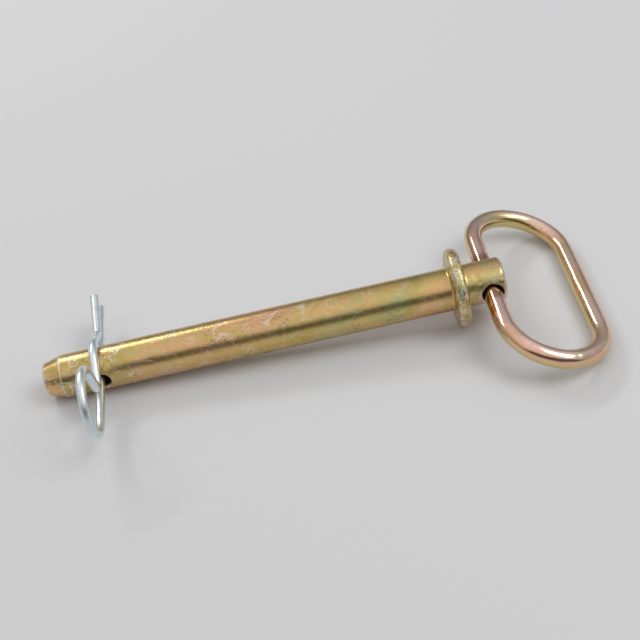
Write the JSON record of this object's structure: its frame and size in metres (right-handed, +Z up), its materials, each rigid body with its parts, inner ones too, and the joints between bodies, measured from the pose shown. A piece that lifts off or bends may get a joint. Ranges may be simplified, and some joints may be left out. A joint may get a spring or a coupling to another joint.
{
  "type": "hitch pin",
  "caption": "Forged hitch pin with a collar, a swinging loop handle through its head and a spring clip through its nose end.",
  "frame": {"origin": "middle of the part's footprint, on the floor it lies on", "axes": "+X along the pin towards the head, +Y along the cross holes towards the clip's open end, +Z up"},
  "size_m": [0.2432, 0.1062, 0.04],
  "materials": {
    "yellow_zinc": "yellow passivated zinc plate, satin, scuffed",
    "polished_zinc": "bright yellow passivated zinc plate, smooth",
    "clear_zinc": "clear bluish zinc plate, satin"
  },
  "bodies": {
    "pin": {"pin": "yellow_zinc"},
    "handle": {"handle": "polished_zinc"},
    "clip": {"clip": "clear_zinc"}
  },
  "joints": [
    {"name": "handle_swing", "type": "hinge", "parent": "pin", "child": "handle", "pos_m": [0.0763, 0, 0.01769], "axis": [0, -1, 0], "range_deg": [-140, 181]},
    {"name": "clip_pull", "type": "slide", "parent": "pin", "child": "clip", "axis": [0, -1, 0], "range_m": [0, 0.0522], "deforming": ["clip"]}
  ]
}
